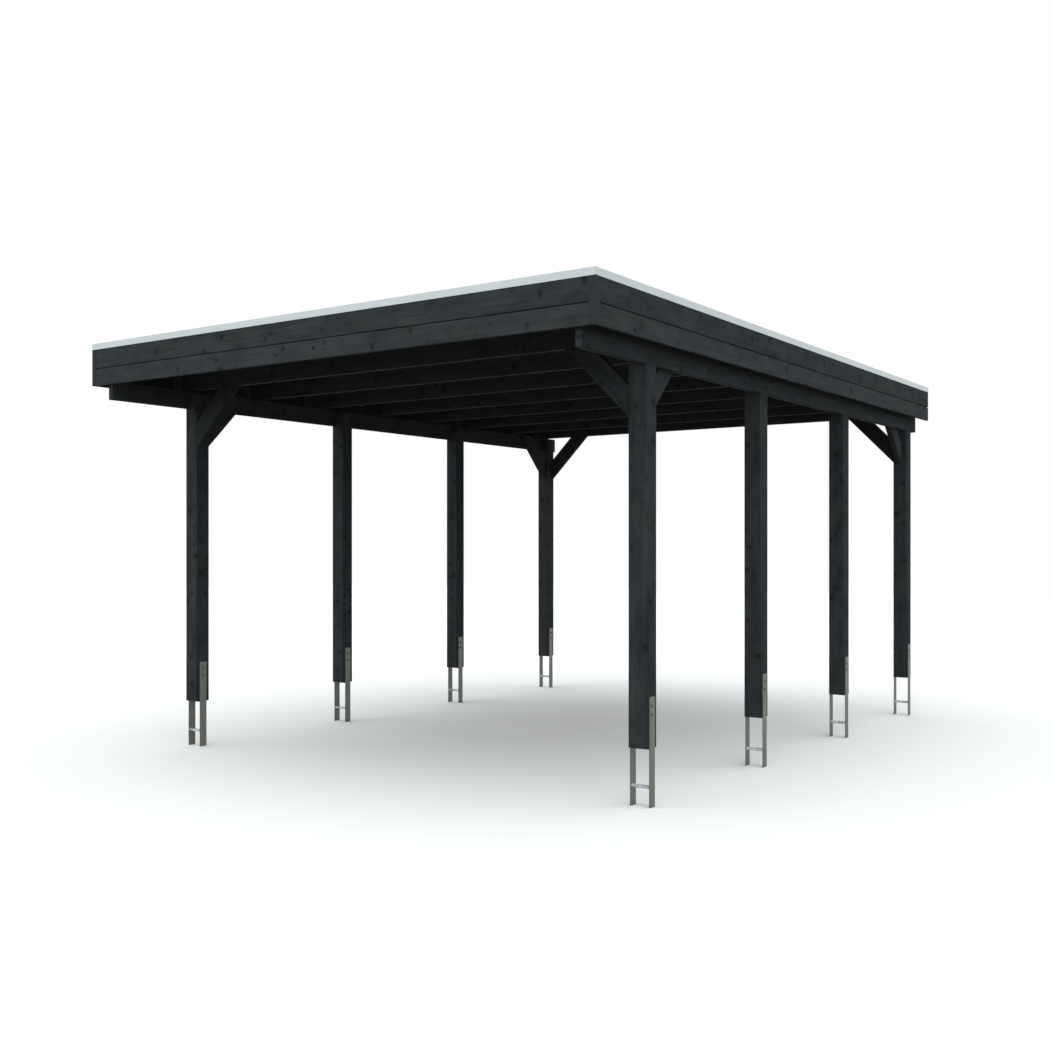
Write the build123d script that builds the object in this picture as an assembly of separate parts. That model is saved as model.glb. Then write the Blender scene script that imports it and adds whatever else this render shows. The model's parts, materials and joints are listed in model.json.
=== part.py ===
from build123d import *
import math
import os

# A flat-roofed timber carport on steel post anchors. Sizes are in millimetres.
# X runs across the parking bay, Y from the front to the rear and Z up.
# The origin lies at ground level under the middle of the roof outline.

# Roof outline, measured over the fascia boards
roof_width = 4035.0
roof_length = 5537.0

# Posts: two rows, left and right of the bay, and how far the roof reaches past their middles
post_side = 115.0
post_corner = 3.0
posts_per_row = 4
front_overhang = 769.5
rear_overhang = 195.5
side_overhang = 165.5
post_foot_height = 328.0

# Purlins: one along each row, let into the outer faces of the posts
purlin_thickness = 45.0
purlin_depth = 130.0
purlin_underside = 2451.0
purlin_front_setback = 50.0
purlin_rear_setback = 5.0
tongue_drop = 21.0

# Rafters: across the purlins, one behind the front fascia and the rest between the end posts
rafter_thickness = 45.0
rafter_depth = 145.0
rafters_over_posts = 8

# Knee braces at the four corner posts
brace_thickness = 45.0
brace_depth = 125.0
brace_angle = 45.0
brace_drop = 419.0

# Fascia: two boards, one above the other, on the front and both sides, with a groove between
fascia_thickness = 20.0
fascia_lap = 33.0
lower_board_width = 115.0
upper_board_width = 170.0
groove_height = 5.0
groove_depth = 9.0
groove_bevel = 2.5

# Corner strips over the front ends of the fascia
strip_leg = 42.0
strip_thickness = 2.0

# Edge trim: a metal angle over the top of the fascia
trim_face = 41.0
trim_flange = 45.0
trim_thickness = 2.0

# Roof covering: ribbed sheets laid from front to rear
sheet_count = 4
ribs_per_sheet = 5
rib_height = 35.0
rib_crown = 45.0
rib_base = 85.0
sheet_thickness = 1.0
sheet_lap_play = 0.2
sheet_side_gap = 10.0
sheet_end_gap = 6.0

# Angle brackets between the rafters and the side fascia
bracket_leg = 45.0
bracket_height = 120.0
bracket_thickness = 2.5
bracket_lift = 20.0

# Post anchors: two steel flats joined by a seat plate and a round bar
anchor_grip = 285.0
anchor_width = 60.0
anchor_thickness = 5.0
anchor_play = 0.5
anchor_bar_diameter = 20.0
anchor_bar_height = 115.0
anchor_bar_setback = 1.0
anchor_hole_diameter = 11.0
anchor_hole_drops = (50.0, 100.0)

# Places that follow from the sizes above. Only the front edge has a trim, which stands
# proud of the fascia, so the roof outline sits half the trim's thickness to the rear.
front_face = (trim_thickness - roof_length) / 2
rear_end = front_face + roof_length
side_face = roof_width / 2
row_x = side_face - side_overhang
first_post_y = front_face + front_overhang
last_post_y = rear_end - rear_overhang
post_bay = (last_post_y - first_post_y) / (posts_per_row - 1)
post_rows = [first_post_y + index * post_bay for index in range(posts_per_row)]
half_post = post_side / 2
purlin_top = purlin_underside + purlin_depth
rafter_top = purlin_top + rafter_depth
post_top = purlin_top - tongue_drop
anchor_height = post_foot_height + anchor_grip
brace_foot = purlin_top - brace_drop
fascia_underside = purlin_top - fascia_lap
fascia_joint = fascia_underside + lower_board_width
fascia_top = fascia_joint + upper_board_width
trim_top = fascia_top + trim_thickness
trim_lower_edge = trim_top - trim_face
SIDES = {"left": -1, "right": 1}


def block(x, y, z):
    """A box between the lowest and highest value on each axis."""
    lowest = (min(x), min(y), min(z))
    size = (max(x) - min(x), max(y) - min(y), max(z) - min(z))
    return Pos(*lowest) * Box(*size, align=(Align.MIN, Align.MIN, Align.MIN))


def prism(points, plane, length):
    """A straight piece with the given outline on the plane, extruded along the plane's normal."""
    outline = make_face(Polyline(*points, close=True))
    return extrude(plane * outline, length)


def make_post(side, y):
    """A square post, cut back at its outer face where the purlin passes."""
    x = side * row_x
    length = post_top - post_foot_height
    section = Rectangle(post_side, post_side)
    section = chamfer(section.vertices(), post_corner)
    post = Pos(x, y, post_foot_height) * extrude(section, length)
    outer = x + side * half_post
    notch = block(
        (outer - side * purlin_thickness, outer + side * post_side),
        (y - post_side, y + post_side),
        (purlin_underside, post_top + post_side),
    )
    post -= notch
    for drop in anchor_hole_drops:
        post -= anchor_hole(x, y, anchor_height - drop, post_side * 2)
    return post


def anchor_hole(x, y, z, length):
    """A bolt hole across the bay, centred on a post."""
    return Pos(x, y, z) * Rot(0, 90, 0) * Cylinder(anchor_hole_diameter / 2, length)


def make_anchor(side, y):
    """An H-shaped anchor: two flats on the post's sides, a seat plate and a round bar."""
    x = side * row_x
    inner = half_post + anchor_play
    outer = inner + anchor_thickness
    depth = (y - anchor_width / 2, y + anchor_width / 2)
    seat = (post_foot_height - anchor_thickness, post_foot_height)
    anchor = block((x - inner, x + inner), depth, seat)
    anchor += block((x - outer, x - inner), depth, (0, anchor_height))
    anchor += block((x + inner, x + outer), depth, (0, anchor_height))
    # The bar lies near the flats' front edges.
    bar_y = y - anchor_width / 2 + anchor_bar_setback + anchor_bar_diameter / 2
    bar = Cylinder(anchor_bar_diameter / 2, 2 * inner)
    anchor += Pos(x, bar_y, anchor_bar_height) * Rot(0, 90, 0) * bar
    for drop in anchor_hole_drops:
        anchor -= anchor_hole(x, y, anchor_height - drop, 3 * outer)
    return anchor


def make_purlin(side):
    """A beam along one row, flush with the outer faces of its posts."""
    outer = side * (row_x + half_post)
    return block(
        (outer - side * purlin_thickness, outer),
        (front_face + purlin_front_setback, rear_end - purlin_rear_setback),
        (purlin_underside, purlin_top),
    )


def rafter_fronts():
    """Front faces of all rafters, from the front fascia to the rear posts."""
    first = first_post_y - half_post
    last = last_post_y + half_post - rafter_thickness
    pitch = (last - first) / (rafters_over_posts - 1)
    over_posts = [first + index * pitch for index in range(rafters_over_posts)]
    return [front_face + fascia_thickness] + over_posts


def make_rafter(front):
    """A rafter from one side fascia to the other."""
    half_length = side_face - fascia_thickness
    return block(
        (-half_length, half_length),
        (front, front + rafter_thickness),
        (purlin_top, rafter_top),
    )


def brace_outline(reach_sign, start, top):
    """A brace seen from its side: cut upright at the post and level at its top."""
    slope = math.tan(math.radians(brace_angle))
    cut = brace_depth / math.cos(math.radians(brace_angle))
    heel = brace_foot + cut
    upper_reach = (top - heel) / slope
    lower_reach = (top - brace_foot) / slope
    return [
        (start, brace_foot),
        (start, heel),
        (start + reach_sign * upper_reach, top),
        (start + reach_sign * lower_reach, top),
    ]


def make_cross_brace(side, y, end):
    """A brace from a corner post up to the rafter over it, flush with the post's end face."""
    points = brace_outline(-side, side * (row_x - half_post), purlin_top)
    outer = y + end * half_post
    brace = prism(points, Plane.XZ, brace_thickness)
    back = max(outer, outer - end * brace_thickness)
    return Pos(0, back, 0) * brace


def make_side_brace(side, y, end):
    """A brace from a corner post up along the inner face of the purlin."""
    points = brace_outline(-end, y - end * half_post, purlin_top)
    outer = side * (row_x + half_post - purlin_thickness)
    brace = prism(points, Plane.YZ, brace_thickness)
    low = min(outer, outer - side * brace_thickness)
    return Pos(low, 0, 0) * brace


def board_section(bottom, top, grooved_bottom, grooved_top):
    """A fascia board's end: outer face at zero, cut back for half the groove between boards."""
    half_groove = groove_height / 2
    points = [(fascia_thickness, bottom), (fascia_thickness, top)]
    if grooved_top:
        points += [
            (groove_depth, top),
            (groove_depth, top - half_groove),
            (groove_bevel, top - half_groove),
            (0, top - half_groove - groove_bevel),
        ]
    else:
        points += [(0, top)]
    if grooved_bottom:
        points += [
            (0, bottom + half_groove + groove_bevel),
            (groove_bevel, bottom + half_groove),
            (groove_depth, bottom + half_groove),
            (groove_depth, bottom),
        ]
    else:
        points += [(0, bottom)]
    return points


def make_front_board(bottom, top, grooved_bottom, grooved_top):
    """A front fascia board over the full width."""
    section = board_section(bottom, top, grooved_bottom, grooved_top)
    board = prism(section, Plane.YZ, roof_width)
    return Pos(-side_face, front_face, 0) * board


def make_side_board(side, bottom, top, grooved_bottom, grooved_top):
    """A side fascia board from behind the front board to the open rear edge."""
    section = board_section(bottom, top, grooved_bottom, grooved_top)
    points = [(-side * depth, height) for depth, height in section]
    start = front_face + fascia_thickness
    board = prism(points, Plane.XZ, -(rear_end - start))
    return Pos(side * side_face, start, 0) * board


def make_corner_strip(side):
    """A thin angle over the meeting ends of the front and side boards."""
    outer_x = side * (side_face + strip_thickness)
    outer_y = front_face - strip_thickness
    height = (fascia_underside, trim_lower_edge)
    x_leg = (outer_x, outer_x - side * strip_leg)
    y_leg = (outer_y, outer_y + strip_leg)
    strip = block(x_leg, (outer_y, front_face), height)
    strip += block((outer_x, side * side_face), y_leg, height)
    return strip


def make_edge_trims():
    """The metal angle over the fascia, mitred into a front, a left and a right length."""
    outer_x = side_face + trim_thickness
    outer_y = front_face - trim_thickness
    whole = block((-outer_x, outer_x), (outer_y, rear_end), (trim_lower_edge, trim_top))
    under_flange = block(
        (-side_face, side_face),
        (front_face, rear_end + trim_face),
        (trim_lower_edge - trim_face, fascia_top),
    )
    opening = block(
        (-outer_x + trim_flange, outer_x - trim_flange),
        (outer_y + trim_flange, rear_end + trim_face),
        (trim_lower_edge - trim_face, trim_top + trim_face),
    )
    trim = whole - under_flange - opening
    wedge_plan = [(-outer_x, outer_y), (outer_x, outer_y), (0, outer_y + outer_x)]
    wedge = prism(wedge_plan, Plane.XY, trim_top + trim_face)
    sides = trim - wedge
    right_half = block((0, outer_x), (outer_y, rear_end), (0, trim_top))
    return {
        "edge_trim_front": trim & wedge,
        "edge_trim_left": sides - right_half,
        "edge_trim_right": sides & right_half,
    }


def rib_corners(centre, spread):
    """Upper corners of one rib, widened and raised by spread where it laps another."""
    base = rib_base / 2 + spread
    crown = rib_crown / 2 + spread
    top = rib_height + spread
    return [
        (centre - base, 0, 1),
        (centre - crown, top, 1),
        (centre + crown, top, -1),
        (centre + base, 0, -1),
    ]


def make_roof_sheet(index):
    """One ribbed sheet. Its first rib laps the last rib of the sheet before it."""
    inner_width = 2 * (side_face - fascia_thickness - sheet_side_gap)
    pitch = inner_width / (sheet_count * ribs_per_sheet + 1)
    first_centre = -inner_width / 2 + pitch / 2 + index * ribs_per_sheet * pitch
    ends_in_lap = index < sheet_count - 1
    rib_total = ribs_per_sheet + 1
    flank = math.atan2(rib_height, (rib_base - rib_crown) / 2)
    inset = sheet_thickness * math.tan(flank / 2)
    spread = sheet_thickness + sheet_lap_play

    corners = []
    for rib in range(rib_total):
        centre = first_centre + rib * pitch
        laps = rib == 0 and index > 0
        corners += rib_corners(centre, spread if laps else 0)
    if index == 0:
        corners = [(-inner_width / 2, 0, 0)] + corners
    else:
        corners = corners[1:]
        corners[0] = (corners[0][0], corners[0][1], 0)
    if ends_in_lap:
        corners = corners[:-1]
        corners[-1] = (corners[-1][0], corners[-1][1], 0)
    else:
        corners = corners + [(inner_width / 2, 0, 0)]

    surface = rafter_top + sheet_thickness
    upper = [(x, surface + z) for x, z, _ in corners]
    lower = [(x + turn * inset, surface + z - sheet_thickness) for x, z, turn in corners]
    start = front_face + fascia_thickness + sheet_end_gap
    length = rear_end - sheet_end_gap - start
    sheet = prism(upper + lower[::-1], Plane.XZ, -length)
    return Pos(0, start, 0) * sheet


def make_brackets(side):
    """Angle brackets in the corners between the rafters and one side fascia."""
    fronts = rafter_fronts()
    corner_x = side * (side_face - fascia_thickness)
    height = (purlin_top + bracket_lift, purlin_top + bracket_lift + bracket_height)
    brackets = []
    for number, front in enumerate(fronts):
        # The first rafter backs the front fascia, so its bracket sits on the rear face.
        facing = 1 if number == 0 else -1
        face = front + rafter_thickness if number == 0 else front
        on_rafter = block(
            (corner_x, corner_x - side * bracket_leg),
            (face, face + facing * bracket_thickness),
            height,
        )
        on_fascia = block(
            (corner_x, corner_x - side * bracket_thickness),
            (face, face + facing * bracket_leg),
            height,
        )
        brackets.append(on_rafter + on_fascia)
    return Compound(children=brackets)


def make_parts():
    """Every piece of the carport, by name."""
    parts = {}
    for name, side in SIDES.items():
        for number, y in enumerate(post_rows, start=1):
            parts[f"post_{name}_{number}"] = make_post(side, y)
            parts[f"anchor_{name}_{number}"] = make_anchor(side, y)
        parts[f"purlin_{name}"] = make_purlin(side)
        for end_name, end, y in (("front", -1, first_post_y), ("rear", 1, last_post_y)):
            parts[f"cross_brace_{end_name}_{name}"] = make_cross_brace(side, y, end)
            parts[f"side_brace_{end_name}_{name}"] = make_side_brace(side, y, end)
        parts[f"fascia_{name}_lower"] = make_side_board(
            side, fascia_underside, fascia_joint, False, True
        )
        parts[f"fascia_{name}_upper"] = make_side_board(
            side, fascia_joint, fascia_top, True, False
        )
        parts[f"corner_strip_{name}"] = make_corner_strip(side)
        parts[f"rafter_brackets_{name}"] = make_brackets(side)
    parts["fascia_front_lower"] = make_front_board(fascia_underside, fascia_joint, False, True)
    parts["fascia_front_upper"] = make_front_board(fascia_joint, fascia_top, True, False)
    for number, front in enumerate(rafter_fronts(), start=1):
        parts[f"rafter_{number}"] = make_rafter(front)
    for index in range(sheet_count):
        parts[f"roof_sheet_{index + 1}"] = make_roof_sheet(index)
    parts.update(make_edge_trims())
    return parts


os.makedirs("parts", exist_ok=True)
for node, shape in make_parts().items():
    export_step(shape, f"parts/{node}.step")
    print(node)
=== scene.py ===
# %% [markdown]
# # A carport in dark stained timber
# The carport is an open frame: square posts on steel anchors, beams along both rows of
# posts, rafters across them, a ribbed roof, and a boarded fascia with a light metal edge.
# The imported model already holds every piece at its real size. This lesson dresses it:
# eased edges and wood grain for the timber, zinc and welds for the steel, and the small
# fixings that are too many to place by hand.

# %% Load the frame
import bmesh
import bpy
import json
import math
import random

import numpy as np
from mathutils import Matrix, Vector


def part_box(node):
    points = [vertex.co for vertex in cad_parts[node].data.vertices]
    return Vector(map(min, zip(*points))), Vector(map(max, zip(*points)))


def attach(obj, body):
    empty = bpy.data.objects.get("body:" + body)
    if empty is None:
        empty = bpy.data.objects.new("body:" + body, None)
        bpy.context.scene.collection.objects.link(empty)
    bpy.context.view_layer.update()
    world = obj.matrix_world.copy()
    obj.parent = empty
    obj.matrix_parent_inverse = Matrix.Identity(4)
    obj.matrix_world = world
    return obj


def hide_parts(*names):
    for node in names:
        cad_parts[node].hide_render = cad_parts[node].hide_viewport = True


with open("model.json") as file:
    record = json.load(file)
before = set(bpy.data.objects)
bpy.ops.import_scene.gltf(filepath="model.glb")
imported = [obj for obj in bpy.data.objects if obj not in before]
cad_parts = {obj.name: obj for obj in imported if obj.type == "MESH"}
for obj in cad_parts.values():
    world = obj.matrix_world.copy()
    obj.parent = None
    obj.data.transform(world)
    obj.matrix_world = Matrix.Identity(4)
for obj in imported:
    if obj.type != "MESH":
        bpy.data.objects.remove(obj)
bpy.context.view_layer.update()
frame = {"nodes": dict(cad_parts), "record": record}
print("packed nodes:", len(frame["nodes"]))

# %% [markdown]
# ## Sizes to work from
# Most places below are read from the frame, so that a fixing stays on the piece that
# carries it. A box is the lowest and highest corner of a node, in metres.

# %% Measure the frame
MM = 0.001
X, Y, Z = Vector((1, 0, 0)), Vector((0, 1, 0)), Vector((0, 0, 1))
SIDES = {"left": -1, "right": 1}
POSTS = [(side, number) for side in SIDES for number in (1, 2, 3, 4)]
RAFTERS = range(1, 10)

post_low, post_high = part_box("post_right_1")
print("post side:", round(post_high.x - post_low.x, 4), "m")

# %% [markdown]
# ## The camera
# The upright edges in the photograph are parallel, so its camera stood level and the
# picture was framed with a little vertical shift, as an architect's camera does. It
# stands in front of the right-hand corner and looks 34.8 degrees to the left of the
# bay's long direction. Focal length and place come from fitting the eight posts' edges.

# %% Place the camera
image_side = 1050
focal_pixels = 1217.6
horizon_row = 549.5
turn_left = 34.77
eye_height = 1.428
eye_from_first_left_post = Vector((7.030, -5.936))

left_low, left_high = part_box("post_left_1")
first_left_post = (left_low + left_high) / 2
camera_data = bpy.data.cameras.new("camera")
camera_data.sensor_width = 36
camera_data.lens = focal_pixels * camera_data.sensor_width / image_side
camera_data.shift_y = (horizon_row - image_side / 2) / image_side
camera_data.clip_end = 200
camera = bpy.data.objects.new("camera", camera_data)
camera.location = (
    first_left_post.x + eye_from_first_left_post.x,
    first_left_post.y + eye_from_first_left_post.y,
    eye_height,
)
camera.rotation_euler = (math.radians(90), 0, math.radians(turn_left))
bpy.context.scene.collection.objects.link(camera)
bpy.context.scene.camera = camera
print("lens:", round(camera_data.lens, 2), "mm, shift:", round(camera_data.shift_y, 4))

# %% [markdown]
# ## Small helpers for node trees
# A material is a network of nodes. One helper adds a node and fills its inputs, either
# with a plain value or with a link from another node. The others are short names for
# common steps: arithmetic, mixing two colours, and starting a material. More helpers
# follow where they are first needed.

# %% Node helpers
def feed(tree, socket, value):
    """Links a socket to another node's output, or sets it to a plain value."""
    if isinstance(value, bpy.types.NodeSocket):
        tree.links.new(value, socket)
    else:
        socket.default_value = value


def add_node(tree, kind, settings=None, **inputs):
    """Adds a node. Settings are its own choices, inputs its sockets by name."""
    node = tree.nodes.new(kind)
    for name, value in (settings or {}).items():
        setattr(node, name, value)
    for name, value in inputs.items():
        feed(tree, node.inputs[name.replace("_", " ")], value)
    return node


def calculate(tree, operation, *values, clamp=False):
    """One step of arithmetic. Returns its output."""
    node = add_node(tree, "ShaderNodeMath", {"operation": operation, "use_clamp": clamp})
    for socket, value in zip(node.inputs, values):
        feed(tree, socket, value)
    return node.outputs[0]


def blend(tree, share, first, second):
    """Mixes two colours. Returns the result."""
    node = add_node(tree, "ShaderNodeMix", {"data_type": "RGBA"})
    for index, value in {0: share, 6: first, 7: second}.items():
        feed(tree, node.inputs[index], value)
    return node.outputs[2]


def new_material(name):
    """An empty material. Returns it with its tree and its shader."""
    material = bpy.data.materials.new(name)
    material.use_nodes = True
    return material, material.node_tree, material.node_tree.nodes["Principled BSDF"]


# %% [markdown]
# ## Studio floor
# The photograph shows the carport alone on white. The floor is nearly white where the
# camera, or a shiny surface, sees it. The soft light that it throws back is that of a
# warm grey, because light from a white floor would fill the roof's dark underside.

# %% Floor
reach = 30
floor_mesh = bpy.data.meshes.new("floor")
floor_mesh.from_pydata(
    [(-reach, -reach, 0), (reach, -reach, 0), (reach, reach, 0), (-reach, reach, 0)],
    [],
    [(0, 1, 2, 3)],
)
floor = bpy.data.objects.new("floor", floor_mesh)
bpy.context.scene.collection.objects.link(floor)


def seen_directly(tree):
    """One for rays from the camera, or mirrored or refracted to it, otherwise zero."""
    path = add_node(tree, "ShaderNodeLightPath").outputs
    mirrored = calculate(tree, "MAXIMUM", path["Is Glossy Ray"], path["Is Transmission Ray"])
    return calculate(tree, "MAXIMUM", path["Is Camera Ray"], mirrored)


floor_material, tree, shader = new_material("studio_floor")
floor_grey = (0.184, 0.150, 0.130, 1)
floor_white = (0.88, 0.88, 0.88, 1)
floor_colour = blend(tree, seen_directly(tree), floor_grey, floor_white)
feed(tree, shader.inputs["Base Color"], floor_colour)
shader.inputs["Roughness"].default_value = 1.0
shader.inputs["Specular IOR Level"].default_value = 0.0
floor_mesh.materials.append(floor_material)
print("floor side:", 2 * reach, "m")

# %% [markdown]
# ## Light
# The picture was lit by large soft sources all round. A world whose strength depends on
# the direction does this with no lamps and no hard shadows. It is brightest straight
# above and weakest a quarter of the way up, stronger from the front than from the rear,
# and a little stronger from the right and from both sides. A colour ramp sets the
# strength by height, which is the sine of the angle above the ground. The rest is added
# along the ground's directions. The camera itself sees plain white.

# %% Helpers for the light
def plus(tree, base, pattern, amount, clamp=False):
    """The base plus a pattern times an amount. Each is a plain value or a socket."""
    return calculate(tree, "MULTIPLY_ADD", pattern, amount, base, clamp=clamp)


def vector_parts(tree, vector):
    """The parts of a vector, by the names X, Y and Z."""
    return add_node(tree, "ShaderNodeSeparateXYZ", Vector=vector).outputs


# %% World
world = bpy.data.worlds.new("studio")
bpy.context.scene.world = world
world.use_nodes = True
tree = world.node_tree
tree.nodes.clear()
looking = add_node(tree, "ShaderNodeTexCoord").outputs["Generated"]
direction = vector_parts(tree, looking)
strength_by_height = {0.0: 1.22, 0.42: 0.75, 0.72: 1.20, 1.0: 2.0}
ramp_top = 2.0
ramp = add_node(tree, "ShaderNodeValToRGB", Fac=direction["Z"])
ramp.color_ramp.interpolation = "EASE"
stops = ramp.color_ramp.elements
for height in list(strength_by_height)[1:-1]:
    stops.new(height)
for stop, value in zip(stops, strength_by_height.values()):
    share = value / ramp_top
    stop.color = (share, share, share, 1)
more_from_front = 0.74
more_from_right = 0.28
more_from_sides = 0.20
dome_colour = (0.97, 1.0, 1.01, 1)
strength = calculate(tree, "MULTIPLY", ramp.outputs["Color"], ramp_top)
strength = plus(tree, strength, direction["Y"], -more_from_front)
strength = plus(tree, strength, direction["X"], more_from_right)
sideways = calculate(tree, "POWER", direction["X"], 2.0)
strength = plus(tree, strength, sideways, more_from_sides)
dome = add_node(tree, "ShaderNodeBackground", Color=dome_colour, Strength=strength)
plain = add_node(tree, "ShaderNodeBackground", Color=(1, 1, 1, 1), Strength=1.0)
mix = add_node(tree, "ShaderNodeMixShader", Fac=seen_directly(tree))
tree.links.new(dome.outputs[0], mix.inputs[1])
tree.links.new(plain.outputs[0], mix.inputs[2])
add_node(tree, "ShaderNodeOutputWorld", Surface=mix.outputs[0])
bpy.context.scene.view_settings.view_transform = "Standard"
print("world strength by height:", strength_by_height)

# %% [markdown]
# ## Stained wood: where a point lies in the tree
# The timber is planed spruce under a thin anthracite stain: grain, fibres and knots
# still show as slightly darker and lighter marks. Wood is a solid, so its marks are best
# made in a solid too. Each piece will carry a "grain" attribute, which says how far along
# the trunk a point lies and how far from its heart. Growth rings are circles round the
# heart: a face cut along the trunk shows them as long streaks, a sawn end as arcs.
#
# A branch grows straight out from the heart, so a knot is a cone that starts there and
# gets thicker outwards. Cutting the directions round the heart, and the length of the
# trunk, into random cells gives each cell at most one branch. How many cells there are
# to the metre is an attribute too, "branches", because no two trees have as many.

# %% Helpers for patterns
def combine(tree, operation, *values):
    """One step of arithmetic on vectors. Returns its vector, or its length."""
    node = add_node(tree, "ShaderNodeVectorMath", {"operation": operation})
    for socket, value in zip(node.inputs, values):
        feed(tree, socket, value)
    return node.outputs["Value" if operation == "LENGTH" else "Vector"]


def make_vector(tree, **parts):
    """A vector from its parts X, Y and Z. A part that isn't given is zero."""
    return add_node(tree, "ShaderNodeCombineXYZ", **parts).outputs[0]


def rise(tree, value, start, end):
    """Zero where the value is at the start, one at the end, and straight between."""
    return add_node(
        tree, "ShaderNodeMapRange", Value=value, From_Min=start, From_Max=end
    ).outputs[0]


def noise(tree, place, scale, detail):
    """Soft random values around one half, with a scale for each direction."""
    scaled = combine(tree, "MULTIPLY", place, scale)
    return add_node(
        tree, "ShaderNodeTexNoise", Vector=scaled, Scale=1.0, Detail=detail
    ).outputs["Fac"]


def lot_of(tree, cells):
    """One random value for each cell of a cell pattern."""
    colour = cells.outputs["Color"]
    return add_node(tree, "ShaderNodeSeparateColor", Color=colour).outputs["Red"]


def carried(tree, name, output="Fac"):
    """A value that a mesh carries in an attribute of its own."""
    return add_node(tree, "ShaderNodeAttribute", {"attribute_name": name}).outputs[output]


def add_relief(tree, shader, height, depth, strength):
    """Lifts a surface by a pattern. The depth is in metres."""
    bump = add_node(tree, "ShaderNodeBump", Height=height, Distance=depth, Strength=strength)
    feed(tree, shader.inputs["Normal"], bump.outputs["Normal"])


# %% Knots and rings
def knots(tree, grain, across, through, from_heart):
    """Knot mask, soft halo, push on the rings, and distance in shares of the knot's radius."""
    thinnest, thickness_range = 0.010, 0.011
    thickness_at_heart, growth_per_metre = 0.35, 9.0
    outer_edge, inner_edge = 1.35, 0.65
    halo_narrowness, push_share = 0.45, 1.3

    cells_per_metre = carried(tree, "branches")
    metres_per_cell = calculate(tree, "DIVIDE", 1.0, cells_per_metre)
    place = make_vector(
        tree,
        X=calculate(tree, "MULTIPLY", vector_parts(tree, grain)["X"], cells_per_metre),
        Y=calculate(tree, "DIVIDE", across, from_heart),
        Z=calculate(tree, "DIVIDE", through, from_heart),
    )
    cells = add_node(tree, "ShaderNodeTexVoronoi", Vector=place, Scale=1.0)
    gap = combine(tree, "SUBTRACT", place, cells.outputs["Position"])
    to_metres = make_vector(tree, X=metres_per_cell, Y=from_heart, Z=from_heart)
    distance = combine(tree, "LENGTH", combine(tree, "MULTIPLY", gap, to_metres))
    thickness = plus(tree, thinnest, lot_of(tree, cells), thickness_range)
    growth = plus(tree, thickness_at_heart, from_heart, growth_per_metre, clamp=True)
    radius = calculate(tree, "MULTIPLY", thickness, growth)
    share = calculate(tree, "DIVIDE", distance, radius)
    narrowed = calculate(tree, "MULTIPLY", share, halo_narrowness)
    fall = calculate(tree, "MULTIPLY", calculate(tree, "POWER", narrowed, 2.0), -1.0)
    halo = calculate(tree, "EXPONENT", fall)
    push = calculate(tree, "MULTIPLY", halo, calculate(tree, "MULTIPLY", radius, push_share))
    return rise(tree, share, outer_edge, inner_edge), halo, push, share


def growth_rings(tree, from_heart, drift, push):
    """Late wood: near one in the dark line of each year's ring, otherwise near zero."""
    ring_width, wander = 0.0042, 0.036
    sharpness, last_of_year = 2.6, 0.93
    place = plus(tree, from_heart, drift, wander)
    place = calculate(tree, "ADD", place, push)
    ring = calculate(tree, "FRACT", calculate(tree, "DIVIDE", place, ring_width))
    darker = calculate(tree, "POWER", ring, sharpness)
    return calculate(tree, "MULTIPLY", darker, rise(tree, ring, 1.0, last_of_year))


# %% [markdown]
# ## Stained wood: the finish
# The stain is thin, so one colour would look like plastic. It is mixed between a darker
# and a lighter tone by five things: the rings, the fine fibres, broad bands of denser
# wood, clouds where the brush left more or less stain, and the board itself, since no
# two boards take it alike; that board tone also holds painted light. Sawn ends are
# painted lighter, a painted highlight. It is darker round a knot and worn on the rounded
# edges. The lighter tone drifts between blue and green. Rings, fibres and knots also lift
# the surface by a fraction of a millimetre.

# %% Stain and patterns
stain_dark = (0.0105, 0.0128, 0.0142, 1)
stain_light_blue = (0.0440, 0.0522, 0.0585, 1)
stain_light_green = (0.0455, 0.0525, 0.0530, 1)
knot_colour = (0.0085, 0.0092, 0.0095, 1)
worn_colour = (0.060, 0.067, 0.069, 1)

# For each pattern, its scale along the grain and both ways across it, and its detail
wood_patterns = {
    "drift": ((1.3, 4.0, 4.0), 2.0),
    "fibres": ((7.0, 480.0, 480.0), 3.0),
    "bands": ((1.5, 52.0, 52.0), 3.0),
    "clouds": ((5.0, 13.0, 13.0), 4.0),
    "hue": ((3.1, 7.0, 7.0), 1.0),
}
tone_of_patterns = {"fibres": 0.34, "bands": 0.50, "clouds": 0.95}
tone_of_late_wood = -0.28
# Sawn ends are painted lighter: a painted highlight for the light that reaches them.
painted_light_on_sawn_end = 0.16
tone_of_halo = -0.16
knot_cover, knot_ring_cover, knot_rings_across = 0.80, -0.22, 3.0
wear_start, wear_contrast, most_wear = -0.75, 2.4, 0.55
hue_start, hue_contrast = -1.0, 3.0
plain_roughness, roughness_of_tone, roughness_of_knot = 0.74, 0.16, -0.12
height_of_fibres, height_of_late_wood, height_of_knot = 0.8, 0.7, 0.9
wood_relief, wood_relief_strength = 0.0003, 0.8
wood_specular = 0.03
print("patterns in the wood:", ", ".join(wood_patterns))

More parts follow.
